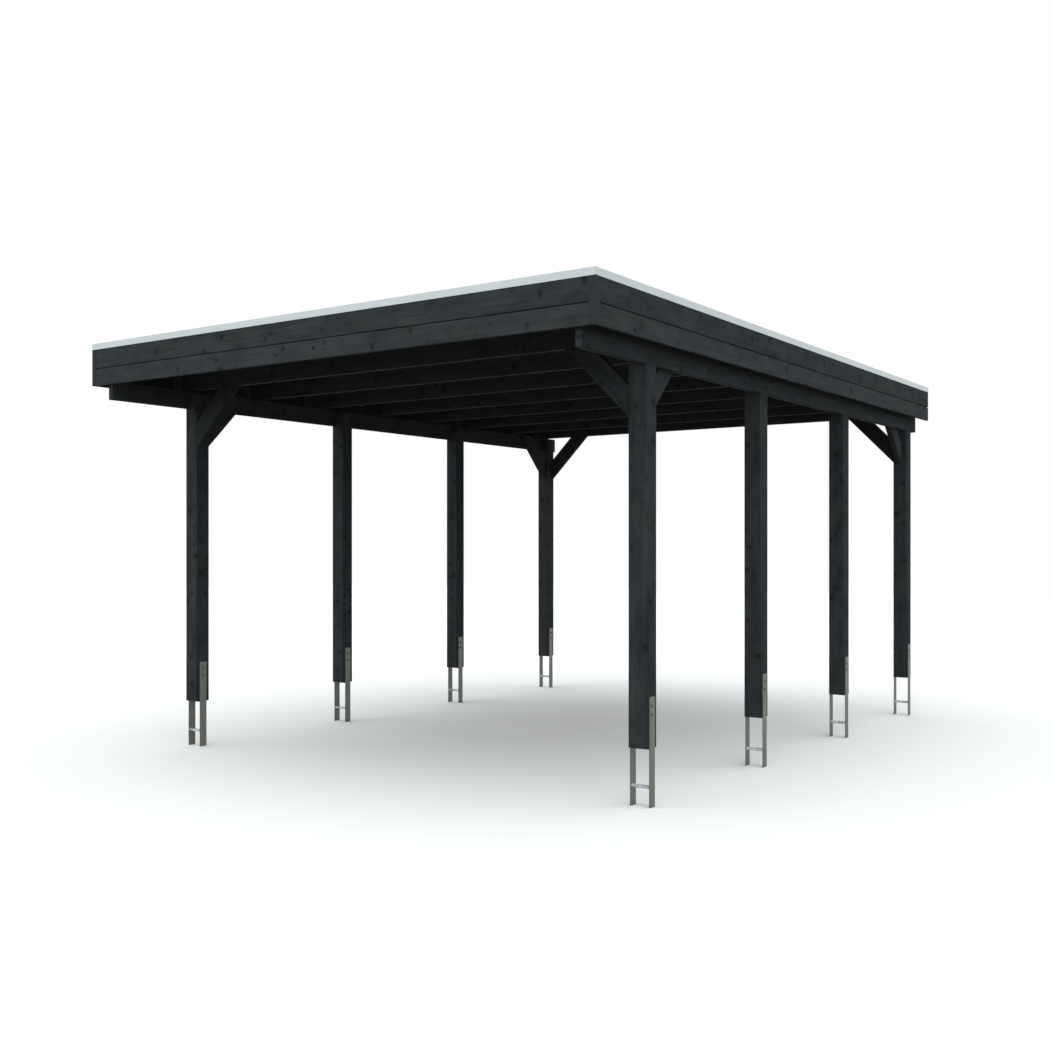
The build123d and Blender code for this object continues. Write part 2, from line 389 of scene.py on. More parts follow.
# %% Wood material
def make_timber_material():
    """Anthracite stain over spruce, from the attributes of each piece."""
    material, tree, shader = new_material("stained_spruce")
    grain = carried(tree, "grain", "Vector")
    parts = vector_parts(tree, grain)
    across, through = parts["Y"], parts["Z"]
    to_heart = combine(tree, "LENGTH", make_vector(tree, Y=across, Z=through))
    from_heart = calculate(tree, "MAXIMUM", to_heart, 1 * MM)
    pattern = {
        name: noise(tree, grain, scale, detail)
        for name, (scale, detail) in wood_patterns.items()
    }
    knot, halo, push, share = knots(tree, grain, across, through, from_heart)
    late_wood = growth_rings(tree, from_heart, pattern["drift"], push)

    # The piece's tone carries painted light as well as its stain.
    tone = plus(tree, carried(tree, "stain_and_painted_light"), late_wood, tone_of_late_wood)
    tone = plus(tree, tone, carried(tree, "sawn"), painted_light_on_sawn_end)
    for name, amount in tone_of_patterns.items():
        centred = calculate(tree, "SUBTRACT", pattern[name], 0.5)
        tone = plus(tree, tone, centred, amount)
    tone = plus(tree, tone, halo, tone_of_halo, clamp=True)
    hue = plus(tree, hue_start, pattern["hue"], hue_contrast, clamp=True)
    stain_light = blend(tree, hue, stain_light_blue, stain_light_green)
    colour = blend(tree, tone, stain_dark, stain_light)

    rings_in_knot = calculate(tree, "MULTIPLY", share, knot_rings_across)
    rings_in_knot = calculate(tree, "PINGPONG", rings_in_knot, 1.0)
    cover = plus(tree, knot_cover, rings_in_knot, knot_ring_cover)
    colour = blend(tree, calculate(tree, "MULTIPLY", knot, cover), colour, knot_colour)
    worn = plus(tree, wear_start, pattern["clouds"], wear_contrast, clamp=True)
    worn = calculate(tree, "MULTIPLY", carried(tree, "rounding"), worn)
    colour = blend(tree, calculate(tree, "MULTIPLY", worn, most_wear), colour, worn_colour)
    feed(tree, shader.inputs["Base Color"], colour)

    roughness = plus(tree, plain_roughness, tone, roughness_of_tone)
    feed(tree, shader.inputs["Roughness"], plus(tree, roughness, knot, roughness_of_knot))
    shader.inputs["Specular IOR Level"].default_value = wood_specular
    height = calculate(tree, "MULTIPLY", pattern["fibres"], height_of_fibres)
    height = plus(tree, height, late_wood, height_of_late_wood)
    height = plus(tree, height, knot, height_of_knot)
    add_relief(tree, shader, height, wood_relief, wood_relief_strength)
    return material


timber_material = make_timber_material()
print("wood nodes:", len(timber_material.node_tree.nodes))

# %% [markdown]
# ## Eased edges
# Planed timber never has a knife-sharp edge: the mill rounds it by one to three
# millimetres, and that rounding catches the light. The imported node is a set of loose
# triangles, so a copy is merged, its flat faces are joined, its long edges are bevelled,
# and the copy stands in for the node. Weighted normals keep the wide faces flat. Sheet
# metal and steel get the same treatment with a radius of their own.

# %% Shape helpers
def put_in_scene(name, mesh):
    """An object for the mesh, at the origin."""
    thing = bpy.data.objects.new(name, mesh)
    bpy.context.scene.collection.objects.link(thing)
    return thing


def apply_modifiers(thing):
    """Turns an object with modifiers into a plain mesh."""
    bpy.context.view_layer.update()
    result = thing.evaluated_get(bpy.context.evaluated_depsgraph_get())
    mesh = bpy.data.meshes.new_from_object(result)
    thing.modifiers.clear()
    thing.data = mesh


# %% Rounded copy
def eased_copy(name, node, width, least_length=30 * MM, grain_way=None, sharpest=180):
    """A copy of a node with its long edges rounded, up to the sharpest angle in degrees.

    Faces that look along the grain are marked as sawn, and the new ones as rounding.
    """
    bluntest, looks_along_grain = 40, 0.7
    shape = bmesh.new()
    shape.from_mesh(frame["nodes"][node].data)
    mark = shape.faces.layers.float.new("rounding")
    sawn = shape.faces.layers.float.new("sawn")
    bmesh.ops.remove_doubles(shape, verts=shape.verts, dist=0.01 * MM)
    bmesh.ops.dissolve_limit(
        shape, angle_limit=math.radians(1), verts=shape.verts, edges=shape.edges
    )
    long_edges = [
        edge
        for edge in shape.edges
        if edge.calc_length() > least_length
        and math.radians(bluntest) < edge.calc_face_angle(0) < math.radians(sharpest)
    ]
    rounded = bmesh.ops.bevel(
        shape, geom=long_edges, offset=width, segments=2, affect="EDGES", clamp_overlap=True
    )
    for face in rounded["faces"]:
        face[mark] = 1.0
    for edge in shape.edges:
        edge.smooth = edge.calc_face_angle(0) < math.radians(sharpest)
    for face in shape.faces:
        face.smooth = True
        if grain_way is not None and abs(face.normal.dot(grain_way)) > looks_along_grain:
            face[sawn] = 1.0
    mesh = bpy.data.meshes.new(name)
    shape.to_mesh(mesh)
    shape.free()
    thing = put_in_scene(name, mesh)
    thing.modifiers.new("flat faces", "WEIGHTED_NORMAL").keep_sharp = True
    apply_modifiers(thing)
    return thing


# %% Dress a piece
def dress(thing, material, slot, *nodes):
    """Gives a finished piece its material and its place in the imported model."""
    thing.data.materials.clear()
    thing.data.materials.append(material)
    if nodes:
        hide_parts(*nodes)
    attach(thing, "root")


# %% [markdown]
# Grain always runs along a timber, so each piece needs its long direction and one
# direction across it. Posts stand, beams and side boards run from front to rear, rafters
# and front boards from left to right, and a brace's grain follows its own slope. A post
# is as thick as a small trunk, so its heart runs inside it. A board is cut beside it.
# The tables say how wide each kind's edges are rounded, how pale it is, how deep its
# heart lies from its middle, and how many branches its tree had to the metre. That tone
# is partly the stain's own and partly painted light: the left posts are paler for light
# from the front left, and the cross braces darker for the shade under the fascia.

# %% Lay the grain
def lay_grain(mesh, along, across, heart_depth, branches, stain_and_painted_light, chance):
    """Stores each point's place in the tree, the tree's branches to the metre, and the tone, which
    holds painted light as well as the stain.
    """
    trunk_length, heart_to_side, spread_of_tone = 60, 0.04, 0.02
    ways = along, across, along.cross(across)
    axes = np.array([way.normalized() for way in ways])
    points = np.array([vertex.co for vertex in mesh.vertices])
    middle = (points.min(0) + points.max(0)) / 2
    heart = (
        chance.uniform(0, trunk_length),
        chance.uniform(-heart_to_side, heart_to_side),
        chance.uniform(*heart_depth),
    )
    places = (points - middle) @ axes.T + np.array(heart)
    attribute = mesh.attributes.new("grain", "FLOAT_VECTOR", "POINT")
    attribute.data.foreach_set("vector", places.astype(np.float32).ravel())
    tone = stain_and_painted_light + chance.uniform(-spread_of_tone, spread_of_tone)
    for name, value in {"stain_and_painted_light": tone, "branches": branches}.items():
        attribute = mesh.attributes.new(name, "FLOAT", "POINT")
        attribute.data.foreach_set("value", [value] * len(points))


# %% Kinds of timber
def timber_directions(node):
    """The direction of a timber's grain and one direction across it."""
    side = 1 if node.endswith("right") else -1
    end = 1 if "_rear_" in node else -1
    if node.startswith("post"):
        return Z, X
    if node.startswith("cross_brace"):
        return Z - side * X, Z + side * X
    if node.startswith("side_brace"):
        return Z - end * Y, Z + end * Y
    if node.startswith(("rafter", "fascia_front")):
        return X, Z
    return Y, Z


easing_by_kind = {"post": 0.7 * MM, "fascia": 1.2 * MM, "": 2.5 * MM}
# Each kind's tone is partly its stain and partly painted light: paler left posts for light from the
# front left, darker cross braces for shade under the fascia.
stain_and_painted_light_by_kind = {
    "post_left": 0.78,
    "post_right": 0.68,
    "purlin": 0.68,
    "rafter": 0.70,
    "cross_brace": 0.53,
    "side_brace": 0.80,
    "fascia_front_upper": 0.73,
    "fascia_front_lower": 0.82,
    "fascia_right_lower": 0.90,
    "fascia": 0.73,
}
heart_depth_by_kind = {"post": (-0.020, 0.020), "": (0.015, 0.060)}
branches_by_kind = {"post_right_1": 3.6, "post": 6.5, "": 3.6}


def by_kind(table, node):
    """The value of the first kind that the node's name starts with."""
    return next(value for kind, value in table.items() if node.startswith(kind))


timber_nodes = [
    part["node"]
    for part in frame["record"]["subparts"]
    if part["material_slot"] == "stained_timber"
]
print("timber pieces:", len(timber_nodes))

# %% Dress every timber
for node in sorted(timber_nodes):
    along, across = timber_directions(node)
    easing = by_kind(easing_by_kind, node)
    timber = eased_copy(node + "_timber", node, easing, grain_way=along.normalized())
    lay_grain(
        timber.data,
        along,
        across,
        by_kind(heart_depth_by_kind, node),
        by_kind(branches_by_kind, node),
        by_kind(stain_and_painted_light_by_kind, node),
        random.Random(node),
    )
    dress(timber, timber_material, "stained_timber", node)
print("last piece:", timber.name, "with", len(timber.data.polygons), "faces")

# %% [markdown]
# ## Metal finishes
# The metal has four finishes. Zinc from a hot bath cools into flat crystals, which a
# cell pattern with a random grey in each cell gives. It has dulled on the anchors'
# flats. On their round bars it is shinier and painted near white, a painted highlight,
# and on the brackets it is painted dark, a painted shade for the shade they stand in.
# The fascia's edge is satin aluminium with faint rolling streaks, the corner angles are
# painted like the wood, and the roof sheets have a light coating.

# %% Zinc
metal_relief = 0.0001


def make_zinc_material(name, dark, light, roughness, metallic):
    """Zinc with the faint crystals that it gets when it cools, and a cloudy patina."""
    crystals_per_metre = 95.0
    cloud_scale = (11.0, 11.0, 5.0)
    grit_scale = (900.0, 900.0, 900.0)
    darkest, tone_of_clouds, tone_of_crystals = -0.35, 1.3, 0.4
    roughness_of_crystals, relief_strength = 0.14, 0.5
    metallic_specular, other_specular = 0.5, 0.1
    material, tree, shader = new_material(name)
    place = add_node(tree, "ShaderNodeTexCoord").outputs["Object"]
    crystals = add_node(tree, "ShaderNodeTexVoronoi", Vector=place, Scale=crystals_per_metre)
    lot = lot_of(tree, crystals)
    clouds = noise(tree, place, cloud_scale, detail=5.0)
    grit = noise(tree, place, grit_scale, detail=2.0)
    tone = plus(tree, darkest, clouds, tone_of_clouds)
    tone = plus(tree, tone, lot, tone_of_crystals, clamp=True)
    feed(tree, shader.inputs["Base Color"], blend(tree, tone, dark, light))
    feed(tree, shader.inputs["Roughness"], plus(tree, roughness, lot, roughness_of_crystals))
    shader.inputs["Metallic"].default_value = metallic
    specular = metallic_specular if metallic else other_specular
    shader.inputs["Specular IOR Level"].default_value = specular
    add_relief(tree, shader, grit, metal_relief, relief_strength)
    return material


dull_zinc = make_zinc_material(
    "dull_zinc",
    dark=(0.140, 0.144, 0.124, 1),
    light=(0.196, 0.201, 0.175, 1),
    roughness=0.45,
    metallic=0.75,
)
# Shinier zinc painted near white: on the anchors' bars a painted highlight, on the roof and edge
# screws their bright zinc.
bright_zinc_and_painted_highlight = make_zinc_material(
    "bright_zinc_and_painted_highlight",
    dark=(0.86, 0.88, 0.90, 1),
    light=(0.94, 0.96, 0.98, 1),
    roughness=0.34,
    metallic=0.7,
)
# Zinc painted dark for the brackets and their screws: painted shade for the roof's shadow.
shaded_zinc = make_zinc_material(
    "shaded_zinc",
    dark=(0.046, 0.054, 0.058, 1),
    light=(0.068, 0.079, 0.084, 1),
    roughness=0.60,
    metallic=0.0,
)
print("zinc finishes:", dull_zinc.name, bright_zinc_and_painted_highlight.name, shaded_zinc.name)


# %% Edge metal, painted angle and roof coating
def make_sheet_material(name, dark, light, stretch, roughness, metallic, sheen=0.5):
    """Smooth sheet with streaks and clouds. Stretch is the streaks' scale on each axis."""
    cloud_scale = (2.2, 2.2, 2.2)
    darkest, tone_of_clouds, tone_of_streaks = -0.5, 1.2, 0.8
    roughness_of_clouds, relief_strength = 0.24, 0.3
    material, tree, shader = new_material(name)
    place = add_node(tree, "ShaderNodeTexCoord").outputs["Object"]
    streaks = noise(tree, place, stretch, detail=3.0)
    clouds = noise(tree, place, cloud_scale, detail=5.0)
    tone = plus(tree, darkest, clouds, tone_of_clouds)
    tone = plus(tree, tone, streaks, tone_of_streaks, clamp=True)
    feed(tree, shader.inputs["Base Color"], blend(tree, tone, dark, light))
    feed(tree, shader.inputs["Roughness"], plus(tree, roughness, clouds, roughness_of_clouds))
    shader.inputs["Metallic"].default_value = metallic
    shader.inputs["Specular IOR Level"].default_value = sheen
    add_relief(tree, shader, streaks, metal_relief, relief_strength)
    return material


edge_metal_along_x, edge_metal_along_y = (
    make_sheet_material(
        name,
        dark=(0.52, 0.58, 0.59, 1),
        light=(0.60, 0.66, 0.67, 1),
        stretch=stretch,
        roughness=0.30,
        metallic=0.35,
    )
    for name, stretch in {
        "satin_edge_front": (3, 260, 260),
        "satin_edge_side": (260, 3, 260),
    }.items()
)
angle_paint = make_sheet_material(
    "anthracite_paint",
    dark=(0.0245, 0.0295, 0.0318, 1),
    light=(0.0300, 0.0360, 0.0388, 1),
    stretch=(60, 60, 12),
    roughness=0.50,
    metallic=0.0,
    sheen=0.06,
)
roof_coating = make_sheet_material(
    "roof_coating",
    dark=(0.34, 0.36, 0.37, 1),
    light=(0.46, 0.48, 0.49, 1),
    stretch=(24, 0.7, 24),
    roughness=0.38,
    metallic=0.0,
)
print("sheet finishes:", edge_metal_along_x.name, edge_metal_along_y.name)
print("coatings:", angle_paint.name, roof_coating.name)

# %% [markdown]
# ## Metal round the roof
# The edge's streaks run along each trim, so the front one has a pattern of its own. The
# brackets are too small and too deep in the shade for rounded edges, so they only get
# their finish, zinc painted dark as painted shade.

# %% Dress the edge, the corners and the brackets
trim_bend = 0.9 * MM
angle_bend = 0.7 * MM
for side in SIDES:
    trim = eased_copy(f"edge_{side}", f"edge_trim_{side}", trim_bend)
    dress(trim, edge_metal_along_y, "edge_metal", f"edge_trim_{side}")
    angle = eased_copy(f"corner_angle_{side}", f"corner_strip_{side}", angle_bend)
    dress(angle, angle_paint, "painted_angle", f"corner_strip_{side}")
trim = eased_copy("edge_front", "edge_trim_front", trim_bend)
dress(trim, edge_metal_along_x, "edge_metal", "edge_trim_front")
# The brackets get the zinc with painted shade.
for node, thing in frame["nodes"].items():
    if node.startswith("rafter_brackets"):
        for slot in thing.material_slots:
            slot.material = shaded_zinc
print("edge trims:", 1 + len(SIDES), "corner angles:", len(SIDES))

# %% [markdown]
# ## Roof sheets
# A roof sheet is a flat band of steel that rollers fold into ribs, so its bends are round
# while its cut edges stay sharp. The bends turn by 60 degrees and the cut edges by 90,
# which tells them apart. Only the bends that run the sheet's whole length are rounded.

# %% Dress the roof sheets
sheets = sorted(node for node in frame["nodes"] if node.startswith("roof_sheet"))
sheet_bend = 2.5 * MM
for node in sheets:
    sheet = eased_copy(node + "_steel", node, sheet_bend, least_length=1.0, sharpest=75)
    dress(sheet, roof_coating, "roof_sheet", node)
print("roof sheets:", len(sheets), "with", len(sheet.data.polygons), "faces in the last")

# %% [markdown]
# ## Post anchors
# An anchor is two steel flats, joined by a seat plate under the post and by a round bar
# that holds it in the concrete. The copy's long edges are rounded by less than a
# millimetre, and the bar's faces get the brighter zinc, a painted highlight. They are the
# ones that lie between the flats, at the bar's height.

# %% Dress the anchors
bar_middle = 115 * MM
bar_radius = 10 * MM
flat_inner = 58 * MM
flat_easing = 0.7 * MM
shortest_flat_edge = 45 * MM


def anchor_place(side, number):
    """The middle of an anchor on the ground, and its half width from front to rear."""
    low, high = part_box(f"anchor_{side}_{number}")
    return Vector(((low.x + high.x) / 2, (low.y + high.y) / 2, 0)), (high.y - low.y) / 2


for side, number in POSTS:
    node = f"anchor_{side}_{number}"
    anchor = eased_copy(node + "_steel", node, flat_easing, shortest_flat_edge)
    middle, _ = anchor_place(side, number)
    dress(anchor, dull_zinc, "galvanised_steel", node)
    # The bar's faces get the near-white zinc, a painted highlight.
    anchor.data.materials.append(bright_zinc_and_painted_highlight)
    for face in anchor.data.polygons:
        near_bar = abs(face.center.z - bar_middle) < bar_radius + MM
        if near_bar and abs(face.center.x - middle.x) < flat_inner - 0.1 * MM:
            face.material_index = 1
print("anchors:", len(POSTS))

# %% [markdown]
# ## Welds
# A weld is a bead that follows a joint, with ripples where the welder moved on. That is
# a rule along a path, so Geometry Nodes make it: the path's edges become a curve, the
# curve is cut into short steps, its radius goes up and down with a sine, and a small
# circle is swept along it.

# %% Geometry Nodes helpers
def new_geometry_tree(name, inputs):
    """A geometry tree with named inputs. Returns it with its input and output nodes."""
    tree = bpy.data.node_groups.new(name, "GeometryNodeTree")
    tree.interface.new_socket("Geometry", in_out="INPUT", socket_type="NodeSocketGeometry")
    for label, kind in inputs.items():
        tree.interface.new_socket(label, in_out="INPUT", socket_type="NodeSocket" + kind)
    tree.interface.new_socket("Geometry", in_out="OUTPUT", socket_type="NodeSocketGeometry")
    return tree, tree.nodes.new("NodeGroupInput").outputs, tree.nodes.new("NodeGroupOutput")


def is_more(tree, first, second):
    """True where the first value is more than the second."""
    settings = {"data_type": "FLOAT", "operation": "GREATER_THAN"}
    test = add_node(tree, "FunctionNodeCompare", settings)
    feed(tree, test.inputs[0], first)
    feed(tree, test.inputs[1], second)
    return test.outputs[0]


def either(tree, size, shape, other_shape):
    """The shape where the size is above zero, otherwise the other shape."""
    given_size = is_more(tree, size, 0.0)
    choice = add_node(tree, "GeometryNodeSwitch", {"input_type": "GEOMETRY"}, Switch=given_size)
    feed(tree, choice.inputs[1], other_shape)
    feed(tree, choice.inputs[2], shape)
    return choice.outputs[0]


def finish_tree(tree, geometry, material, output):
    """Realizes the instances and sets the material at the end of a tree."""
    real = add_node(tree, "GeometryNodeRealizeInstances", Geometry=geometry).outputs[0]
    done = add_node(tree, "GeometryNodeSetMaterial", Geometry=real, Material=material).outputs[0]
    feed(tree, output.inputs[0], done)


def run_tree(thing, tree, values):
    """Runs a geometry tree on an object with the values of its named inputs."""
    modifier = thing.modifiers.new(tree.name, "NODES")
    modifier.node_group = tree
    for item in tree.interface.items_tree:
        if item.in_out == "INPUT" and item.name in values:
            modifier[item.identifier] = values[item.name]
    apply_modifiers(thing)


def triangle_count(thing):
    """How many triangles an object's mesh makes."""
    return sum(len(face.vertices) - 2 for face in thing.data.polygons)


# %% Weld tree
weld_tree, given, output = new_geometry_tree(
    "weld_bead",
    {"Radius": "Float", "Ripple": "Float", "Ripple Length": "Float", "Material": "Material"},
)
tree = weld_tree
step_length = 1.6 * MM
bead_sides = 8
line = add_node(tree, "GeometryNodeMeshToCurve", Mesh=given["Geometry"]).outputs[0]
steps = add_node(
    tree, "GeometryNodeResampleCurve", {"mode": "LENGTH"}, Curve=line, Length=step_length
).outputs[0]
length = add_node(tree, "GeometryNodeSplineParameter").outputs["Length"]
ripples = calculate(tree, "DIVIDE", length, given["Ripple Length"])
wave = calculate(tree, "SINE", calculate(tree, "MULTIPLY", ripples, math.tau))
radius = calculate(tree, "MULTIPLY", plus(tree, 1.0, wave, given["Ripple"]), given["Radius"])
circle = add_node(tree, "GeometryNodeCurvePrimitiveCircle", Resolution=bead_sides, Radius=1.0)
bead = add_node(
    tree, "GeometryNodeCurveToMesh", Curve=steps, Profile_Curve=circle.outputs[0], Fill_Caps=True
)
feed(tree, bead.inputs["Scale"], radius)
smooth = add_node(tree, "GeometryNodeSetShadeSmooth", Geometry=bead.outputs[0]).outputs[0]
finish_tree(tree, smooth, given["Material"], output)
print("weld tree nodes:", len(tree.nodes))

# %% [markdown]
# Each anchor has four joints to weld: one under the seat plate along each flat, and a
# ring round the bar at each flat.

# %% Weld the anchors
weld_points, weld_edges = [], []
weld_inset = 3 * MM
seat_plate = 5 * MM
bar_inset = 1 * MM
ring_steps = 24


def weld_path(points, closed=False):
    """Adds one joint to be welded."""
    first = len(weld_points)
    weld_points.extend(points)
    last = len(weld_points) - 1
    weld_edges.extend((index, index + 1) for index in range(first, last))
    if closed:
        weld_edges.append((last, first))


for side, number in POSTS:
    middle, half_depth = anchor_place(side, number)
    seat_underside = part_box(f"post_{side}_{number}")[0].z - seat_plate
    bar_y = middle.y - half_depth + bar_inset + bar_radius
    for hand in (-1, 1):
        x = middle.x + hand * flat_inner
        start = middle.y - half_depth + weld_inset
        end = middle.y + half_depth - weld_inset
        weld_path([(x, start, seat_underside), (x, end, seat_underside)])
        turns = [math.radians(360 / ring_steps * step) for step in range(ring_steps)]
        ring = [
            (x, bar_y + bar_radius * math.cos(turn), bar_middle + bar_radius * math.sin(turn))
            for turn in turns
        ]
        weld_path(ring, closed=True)

weld_mesh = bpy.data.meshes.new("anchor_welds")
weld_mesh.from_pydata(weld_points, weld_edges, [])
welds = put_in_scene("anchor_welds", weld_mesh)
run_tree(
    welds,
    weld_tree,
    {"Radius": 2.0 * MM, "Ripple": 0.16, "Ripple Length": 3.2 * MM, "Material": dull_zinc},
)
dress(welds, dull_zinc, "galvanised_steel")
print("weld triangles:", triangle_count(welds))

# %% [markdown]
# ## Fixings
# Bolts and screws repeat by the hundred, so one tree makes them all. Its input is a set
# of points, each with a "facing" direction that the head looks in. A head is a cylinder
# whose top ring is drawn in: six sides make a bolt or a nut, more sides make a screw.

# %% Fixing tree: the head
fixing_tree, given, output = new_geometry_tree(
    "fixing_head",
    {
        "Sides": "Int",
        "Radius": "Float",
        "Height": "Float",
        "Top Share": "Float",
        "Recess Share": "Float",
        "Recess Depth": "Float",
        "Washer Radius": "Float",
        "Washer Height": "Float",
        "Seed": "Int",
        "Material": "Material",
    },
)
tree = fixing_tree
body = add_node(
    tree,
    "GeometryNodeMeshCylinder",
    {"fill_type": "NGON"},
    Vertices=given["Sides"],
    Side_Segments=2,
    Radius=given["Radius"],
    Depth=given["Height"],
).outputs["Mesh"]
place = vector_parts(tree, add_node(tree, "GeometryNodeInputPosition").outputs[0])
quarter = calculate(tree, "MULTIPLY", given["Height"], 0.25)
is_top = is_more(tree, place["Z"], quarter)
drawn_in = make_vector(
    tree,
    X=calculate(tree, "MULTIPLY", place["X"], given["Top Share"]),
    Y=calculate(tree, "MULTIPLY", place["Y"], given["Top Share"]),
    Z=place["Z"],
)
body = add_node(
    tree, "GeometryNodeSetPosition", Geometry=body, Selection=is_top, Position=drawn_in
).outputs[0]
is_ring = is_more(tree, quarter, calculate(tree, "ABSOLUTE", place["Z"]))
lift = make_vector(tree, Z=quarter)
body = add_node(
    tree, "GeometryNodeSetPosition", Geometry=body, Selection=is_ring, Offset=lift
).outputs[0]
print("nodes for the head:", len(tree.nodes))

# %% [markdown]
# The top can have a recess for the driver: its flat cap is drawn in, then pushed down. A
# washer can lie under the head. Where a size is zero, that piece is left out.

# %% Fixing tree: recess and washer
facing_up = vector_parts(tree, add_node(tree, "GeometryNodeInputNormal").outputs[0])["Z"]
almost_level = 0.99
washer_sides = 18
is_cap = is_more(tree, facing_up, almost_level)
rim = add_node(
    tree,
    "GeometryNodeExtrudeMesh",
    Mesh=body,
    Selection=is_cap,
    Offset_Scale=0.0,
    Individual=False,
)
narrowed = add_node(
    tree,
    "GeometryNodeScaleElements",
    Geometry=rim.outputs["Mesh"],
    Selection=rim.outputs["Top"],
    Scale=given["Recess Share"],
).outputs[0]
recess = add_node(
    tree,
    "GeometryNodeExtrudeMesh",
    Mesh=narrowed,
    Selection=rim.outputs["Top"],
    Offset=make_vector(tree, Z=-1.0),
    Offset_Scale=given["Recess Depth"],
    Individual=False,
).outputs["Mesh"]
head = either(tree, given["Recess Depth"], recess, body)


def lifted(geometry, height):
    """The geometry, moved up."""
    place = make_vector(tree, Z=height)
    return add_node(
        tree, "GeometryNodeTransform", Geometry=geometry, Translation=place
    ).outputs[0]


head = lifted(head, plus(tree, given["Washer Height"], given["Height"], 0.5))
washer = add_node(
    tree,
    "GeometryNodeMeshCylinder",
    {"fill_type": "NGON"},
    Vertices=washer_sides,
    Radius=given["Washer Radius"],
    Depth=given["Washer Height"],
).outputs["Mesh"]
washer = lifted(washer, calculate(tree, "MULTIPLY", given["Washer Height"], 0.5))
both = add_node(tree, "GeometryNodeJoinGeometry")
tree.links.new(head, both.inputs[0])
tree.links.new(washer, both.inputs[0])
fixing = either(tree, given["Washer Height"], both.outputs[0], head)
print("nodes with recess and washer:", len(tree.nodes))

# %% [markdown]
# A copy of the fixing stands on every point and looks in that point's direction. The
# tree also turns each one by a random angle, because nobody lines them up.

# %% Fixing tree: a copy on every point
facing = add_node(
    tree, "GeometryNodeInputNamedAttribute", {"data_type": "FLOAT_VECTOR"}, Name="facing"
).outputs[0]
aim = add_node(tree, "FunctionNodeAlignRotationToVector", {"axis": "Z"}, Vector=facing).outputs[0]
angle = add_node(tree, "FunctionNodeRandomValue", {"data_type": "FLOAT"}, Seed=given["Seed"])
angle.inputs[2].default_value = 0.0
angle.inputs[3].default_value = math.tau
spin = make_vector(tree, Z=angle.outputs[1])
spin = add_node(tree, "FunctionNodeEulerToRotation", Euler=spin).outputs[0]
turned = add_node(
    tree, "FunctionNodeRotateRotation", {"rotation_space": "LOCAL"}, Rotation=aim, Rotate_By=spin
).outputs[0]
placed = add_node(
    tree, "GeometryNodeInstanceOnPoints", Points=given["Geometry"], Instance=fixing, Rotation=turned
).outputs[0]
finish_tree(tree, placed, given["Material"], output)
print("fixing tree nodes:", len(tree.nodes))

# %% [markdown]
# Each kind of fixing is a few sizes for the tree. Bolts on the anchors are 10 mm bolts,
# with a head outside and a nut inside. Screws in the timber have round heads that are
# coated dark, so that they hardly show. Roof screws have a washer that seals the hole.

# %% Kinds of fixing
def fixing_sizes(sides, radius, height, top_share, recess=(0.5, 0.0), washer=(0.0, 0.0)):
    """Sizes for the fixing tree. Lengths are in millimetres.

    A recess has its share of the top's width and its depth, a washer its radius and height.
    """
    return {
        "Sides": sides,
        "Radius": radius * MM,
        "Height": height * MM,
        "Top Share": top_share,
        "Recess Share": recess[0],
        "Recess Depth": recess[1] * MM,
        "Washer Radius": washer[0] * MM,
        "Washer Height": washer[1] * MM,
    }


KINDS = {
    "bolt_head": fixing_sizes(6, 9.2, 6.4, 0.86),
    "nut": fixing_sizes(6, 9.2, 8.0, 0.86, washer=(10.5, 2.0)),
    "bolt_end": fixing_sizes(12, 4.9, 14.0, 0.80),
    "timber_screw": fixing_sizes(14, 6.0, 3.0, 0.72, recess=(0.62, 1.6)),
    "board_screw": fixing_sizes(12, 3.6, 1.0, 0.80, recess=(0.60, 0.8)),
    "bracket_screw": fixing_sizes(12, 4.4, 2.4, 0.66, recess=(0.62, 1.4)),
    "roof_screw": fixing_sizes(6, 4.6, 5.0, 0.88, washer=(8.0, 2.4)),
    "edge_screw": fixing_sizes(12, 4.0, 1.8, 0.70, recess=(0.62, 1.0)),
}
print("kinds of fixing:", len(KINDS))


def fix(name, kind, places, material, slot, seed):
    """Puts one kind of fixing at every place. A place is a point and a direction."""
    mesh = bpy.data.meshes.new(name)
    mesh.from_pydata([point for point, _ in places], [], [])
    facing = mesh.attributes.new("facing", "FLOAT_VECTOR", "POINT")
    facing.data.foreach_set("vector", [value for _, way in places for value in way])
    thing = put_in_scene(name, mesh)
    run_tree(thing, fixing_tree, {**KINDS[kind], "Seed": seed, "Material": material})
    dress(thing, material, slot)
    print(name, len(places), "fixings,", triangle_count(thing), "triangles")


def spread(start, length, count):
    """Places in one direction, evenly spread over a length."""
    return [start + step * length / (count - 1) for step in range(count)]


# %% Anchor bolts
bolt_drops = (50 * MM, 100 * MM)
heads, nuts = [], []
for side, number in POSTS:
    low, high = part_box(f"anchor_{side}_{number}")
    middle_y = (low.y + high.y) / 2
    outward = SIDES[side]
    outer_x, inner_x = (high.x, low.x) if outward > 0 else (low.x, high.x)
    for drop in bolt_drops:
        heads.append((Vector((outer_x, middle_y, high.z - drop)), outward * X))
        nuts.append((Vector((inner_x, middle_y, high.z - drop)), -outward * X))
fix("anchor_bolt_heads", "bolt_head", heads, dull_zinc, "galvanised_steel", 1)
fix("anchor_nuts", "nut", nuts, dull_zinc, "galvanised_steel", 2)
fix("anchor_bolt_ends", "bolt_end", nuts, dull_zinc, "galvanised_steel", 3)

# %% [markdown]
# Timber screws follow the way the frame is put together: two through each beam into the
# post that it is let into, and one through the underside of each brace near either end.
# The fascia boards' screws stand in pairs, one above the other. On the sides that is at
# every rafter's end, and just behind the first one, clear of the corner angle. On the
# front they are spread over the first rafter.

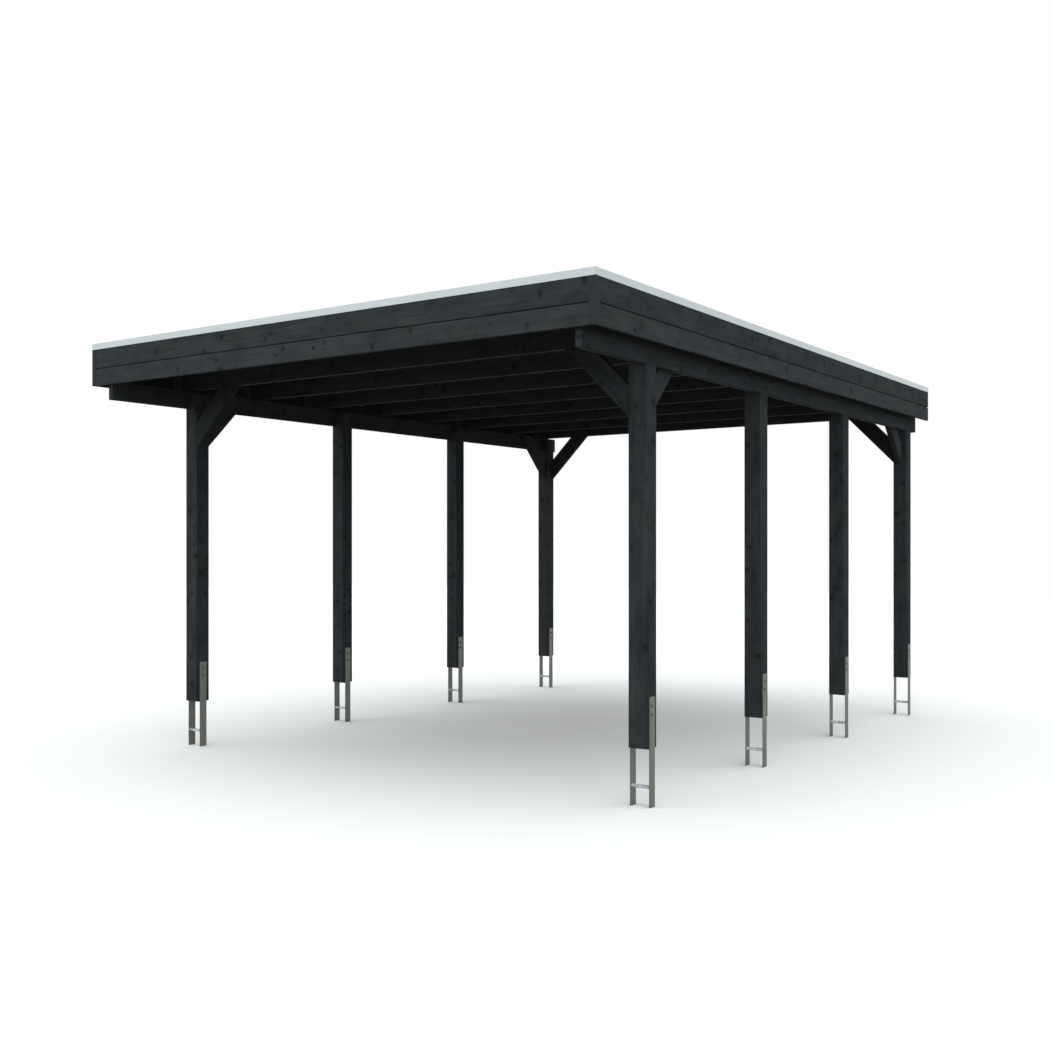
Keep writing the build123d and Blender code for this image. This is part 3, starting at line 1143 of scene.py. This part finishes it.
# %% Screws in the frame
screw_black = make_sheet_material(
    "coated_screw",
    dark=(0.018, 0.020, 0.021, 1),
    light=(0.030, 0.032, 0.033, 1),
    stretch=(300, 300, 300),
    roughness=0.50,
    metallic=0.0,
    sheen=0.10,
)
screws_from_middle = 28 * MM
screws_above_beam = 55 * MM
screws_off_level = 22 * MM
brace_end_gap = 42 * MM
frame_screws = []
for side, number in POSTS:
    post_low, post_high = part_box(f"post_{side}_{number}")
    beam_low, beam_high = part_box(f"purlin_{side}")
    outward = SIDES[side]
    outer_x = beam_high.x if outward > 0 else beam_low.x
    middle = (post_low + post_high) / 2
    for turn in (-1, 1):
        y = middle.y + turn * screws_from_middle
        z = beam_low.z + screws_above_beam + turn * screws_off_level
        frame_screws.append((Vector((outer_x, y, z)), outward * X))

for node in timber_nodes:
    if "brace" not in node:
        continue
    low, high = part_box(node)
    middle = (low + high) / 2
    side = 1 if node.endswith("right") else -1
    end = 1 if "_rear_" in node else -1
    inward = -side * X if node.startswith("cross") else -end * Y
    outer = middle.copy()
    outer += inward * -(high - low).dot(Vector(map(abs, inward))) / 2
    down_slope = (inward - Z).normalized()
    foot = Vector((outer.x, outer.y, low.z))
    slope = (inward + Z).normalized()
    long_side = (high.z - low.z) * math.sqrt(2)
    for along in (brace_end_gap, long_side - brace_end_gap):
        frame_screws.append((foot + slope * along, down_slope))

fix("frame_screws", "timber_screw", frame_screws, screw_black, "painted_angle", 4)

# %% Screws in the boards
board_screws = []
board_rows = (2595 * MM, 2640 * MM, 2684 * MM, 2715 * MM)
behind_first_rafter = 20 * MM
front_margin = 0.18
front_columns = 7
front_low, front_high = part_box("fascia_front_lower")
for side, outward in SIDES.items():
    board_low, board_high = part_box(f"fascia_{side}_lower")
    x = board_high.x if outward > 0 else board_low.x
    for number in RAFTERS:
        rafter_low, rafter_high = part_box(f"rafter_{number}")
        y = (rafter_low.y + rafter_high.y) / 2
        if number == 1:
            y = rafter_high.y + behind_first_rafter
        for z in board_rows:
            board_screws.append((Vector((x, y, z)), outward * X))
front_length = front_high.x - front_low.x - 2 * front_margin
for x in spread(front_low.x + front_margin, front_length, front_columns):
    for z in board_rows:
        board_screws.append((Vector((x, front_low.y, z)), -Y))
fix("fascia_screws", "board_screw", board_screws, screw_black, "painted_angle", 5)

# %% [markdown]
# Brackets tie every rafter's end to the side fascia. Each leg has three screws. A
# bracket sits on its rafter's front face, but the first rafter backs the front fascia,
# so its bracket sits on its rear face.

# %% Screws in the brackets
bracket_screws = []
plate = 2.5 * MM
screws_up_leg = (0.15, 0.5, 0.85)
screw_along_leg = 0.6
for side, outward in SIDES.items():
    low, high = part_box(f"rafter_brackets_{side}")
    corner_x = high.x if outward > 0 else low.x
    leg = high.x - low.x
    for number in RAFTERS:
        rafter_low, rafter_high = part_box(f"rafter_{number}")
        facing = 1 if number == 1 else -1
        face_y = rafter_high.y if number == 1 else rafter_low.y
        for share in screws_up_leg:
            z = low.z + share * (high.z - low.z)
            off_board = corner_x - outward * screw_along_leg * leg
            off_rafter = face_y + facing * screw_along_leg * leg
            on_rafter = Vector((off_board, face_y + facing * plate, z))
            on_board = Vector((corner_x - outward * plate, off_rafter, z))
            bracket_screws.append((on_rafter, facing * Y))
            bracket_screws.append((on_board, -outward * X))
# Bracket screws share the brackets' zinc with painted shade.
fix("bracket_screws", "bracket_screw", bracket_screws, shaded_zinc, "galvanised_steel", 6)

# %% [markdown]
# Roof screws stand in the valleys between the ribs, over every rafter, where the washer
# seals their holes. The four sheets have six ribs each and share one at each lap, which
# makes 21 over the whole width.

# %% Screws in the roof
sheet_low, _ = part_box("roof_sheet_1")
_, sheet_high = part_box("roof_sheet_4")
rib_count = 21
rib_pitch = (sheet_high.x - sheet_low.x) / rib_count
sheet_thickness = 1.0 * MM
valley_top = sheet_low.z + sheet_thickness
roof_screws = []
for number in RAFTERS:
    rafter_low, rafter_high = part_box(f"rafter_{number}")
    y = (rafter_low.y + rafter_high.y) / 2
    for valley in range(1, rib_count):
        roof_screws.append((Vector((sheet_low.x + valley * rib_pitch, y, valley_top)), Z))
fix("roof_screws", "roof_screw", roof_screws, bright_zinc_and_painted_highlight, "galvanised_steel", 7)

# %% [markdown]
# Small screws hold the edge metal down on the fascia, at even steps along each side.

# %% Screws in the edge
edge_screws = []
front_screws, side_screws = 7, 9
inset = 18 * MM
corner_margin = 0.12
first_from_front, last_from_rear = 0.30, 0.10
edge_low, edge_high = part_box("edge_trim_front")
edge_length = edge_high.x - edge_low.x - 2 * corner_margin
for x in spread(edge_low.x + corner_margin, edge_length, front_screws):
    edge_screws.append((Vector((x, edge_low.y + inset, edge_high.z)), Z))
for side, outward in SIDES.items():
    low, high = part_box(f"edge_trim_{side}")
    x = high.x - inset if outward > 0 else low.x + inset
    edge_length = high.y - low.y - (first_from_front + last_from_rear)
    for y in spread(low.y + first_from_front, edge_length, side_screws):
        edge_screws.append((Vector((x, y, high.z)), Z))
fix("edge_screws", "edge_screw", edge_screws, bright_zinc_and_painted_highlight, "galvanised_steel", 8)
